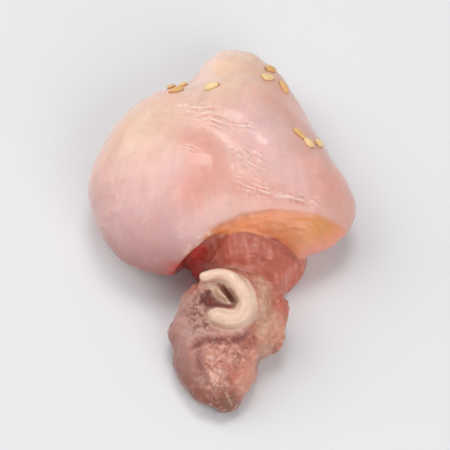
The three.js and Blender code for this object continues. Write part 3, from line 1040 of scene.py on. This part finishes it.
# The hull is thin, ribbed and a little oily, tan to pale gold, with a darker spot at one end.
# Its ribs are too fine to show, so its bump is as coarse as it needs to be to break the gloss.
HULL_GRAIN = 1.111
HULL_DEPTH = 0.08
HULL_LIGHT_REACH = 0.8
HULL_TAN = "#dba768"
HULL_GOLD = "#efd29a"
HULL_SPOT = "#6e4526"
hull = bpy.data.materials.new("sesame_hull_oily")
hull.use_nodes = True
hull.node_tree.nodes.clear()
hull_place = add(hull, "TexCoord").outputs["Object"]
hull_noise = add(hull, "TexNoise", Vector=hull_place, Scale=1 / (HULL_GRAIN * MM), Detail=3.0)
hull_tone = add(hull, "Attribute", {"attribute_name": "tone"})
hull_fleck = add(hull, "Math", {"operation": "MULTIPLY_ADD"}, i0=hull_noise.outputs["Fac"], i1=0.8, i2=-0.4)
hull_sum = add(
    hull, "Math", {"operation": "ADD", "use_clamp": True},
    i0=hull_tone.outputs["Fac"], i1=hull_fleck.outputs[0],
)
hull_gold = add(
    hull, "Mix", {"data_type": "RGBA"}, i0=hull_sum.outputs[0], i6=linear(HULL_TAN), i7=linear(HULL_GOLD),
)
hull_tip = add(hull, "Attribute", {"attribute_name": "tip"})
hull_mix = add(
    hull, "Mix", {"data_type": "RGBA"},
    i0=hull_tip.outputs["Fac"], i6=hull_gold.outputs[2], i7=linear(HULL_SPOT),
)
hull_bump = add(
    hull, "Bump", Strength=0.4, Distance=HULL_DEPTH * MM, Height=hull_noise.outputs["Fac"],
)
hull_surface = add(
    hull, "BsdfPrincipled", Base_Color=hull_mix.outputs[2], Roughness=0.4, IOR=1.47,
    Subsurface_Weight=0.3, Subsurface_Radius=(1.0, 0.6, 0.3), Subsurface_Scale=HULL_LIGHT_REACH * MM,
    Coat_Weight=0.4, Coat_Roughness=0.15, Normal=hull_bump.outputs[0],
)
add(hull, "OutputMaterial", Surface=hull_surface.outputs[0])
seeds.data.materials.append(hull)
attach(seeds, "root")

# Table
# A plain pale matt board, larger than the view, which scatters light evenly and isn't part of
# the object.

FLOOR_SIDE = 4.0
BOARD_WHITE = "#dddcdd"
bpy.ops.mesh.primitive_plane_add(size=FLOOR_SIDE, location=(0, 0, 0))
floor = bpy.context.object
floor.name = "floor"
board = bpy.data.materials.new("matt_white_board")
board.use_nodes = True
board_shader = board.node_tree.nodes["Principled BSDF"]
board_shader.inputs["Base Color"].default_value = linear(BOARD_WHITE)
board_shader.inputs["Roughness"].default_value = 0.6
floor.data.materials.append(board)
floor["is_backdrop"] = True

# Light
# Soft daylight from a large window behind and to the left and a small one above, a white card
# in front on the right, and the pale room all round. Each is given by its place, side and watts.

WINDOW = ((-0.55, 0.3, 0.6), 0.8, 3.9)
SKYLIGHT = ((0.04, 0.3, 0.8), 0.3, 2.1)
CARD = ((0.32, -0.56, 0.45), 0.6, 3.1)
LIT_POINT = Vector((0, 0, 0.01))
ROOM_WHITE = "#f4f6fa"
ROOM_STRENGTH = 0.38


def area_light(name, at, size, watts):
    """A square soft light that faces the object."""
    light = bpy.data.lights.new(name, "AREA")
    light.energy, light.size = watts, size
    lamp = bpy.data.objects.new(name, light)
    lamp.location = at
    lamp.rotation_euler = (LIT_POINT - Vector(at)).to_track_quat("-Z", "Y").to_euler()
    bpy.context.scene.collection.objects.link(lamp)


area_light("window", *WINDOW)
area_light("skylight", *SKYLIGHT)
area_light("card", *CARD)
room = bpy.data.worlds.new("pale_room")
room.use_nodes = True
room.node_tree.nodes["Background"].inputs["Color"].default_value = linear(ROOM_WHITE)
room.node_tree.nodes["Background"].inputs["Strength"].default_value = ROOM_STRENGTH
bpy.context.scene.world = room
bpy.context.scene.view_settings.view_transform = "Standard"

# Camera
# It looks down on the piece at 60 degrees from the cut end, half a metre off.

CAMERA_ELEVATION = math.radians(60)
CAMERA_DISTANCE = 0.5
VIEW_WIDTH = 0.0867
VIEW_MIDDLE = Vector((0.0006, -0.0018, 0.010))
SENSOR_WIDTH = 36
camera = bpy.data.objects.new("camera", bpy.data.cameras.new("camera"))
camera.data.sensor_width = SENSOR_WIDTH
camera.data.lens = SENSOR_WIDTH * CAMERA_DISTANCE / VIEW_WIDTH
back = Vector((0, -math.cos(CAMERA_ELEVATION), math.sin(CAMERA_ELEVATION)))
camera.location = VIEW_MIDDLE + back * CAMERA_DISTANCE
camera.rotation_euler = (-back).to_track_quat("-Z", "Y").to_euler()
camera.data.clip_start = 0.01
bpy.context.scene.collection.objects.link(camera)
bpy.context.scene.camera = camera

low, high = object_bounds()
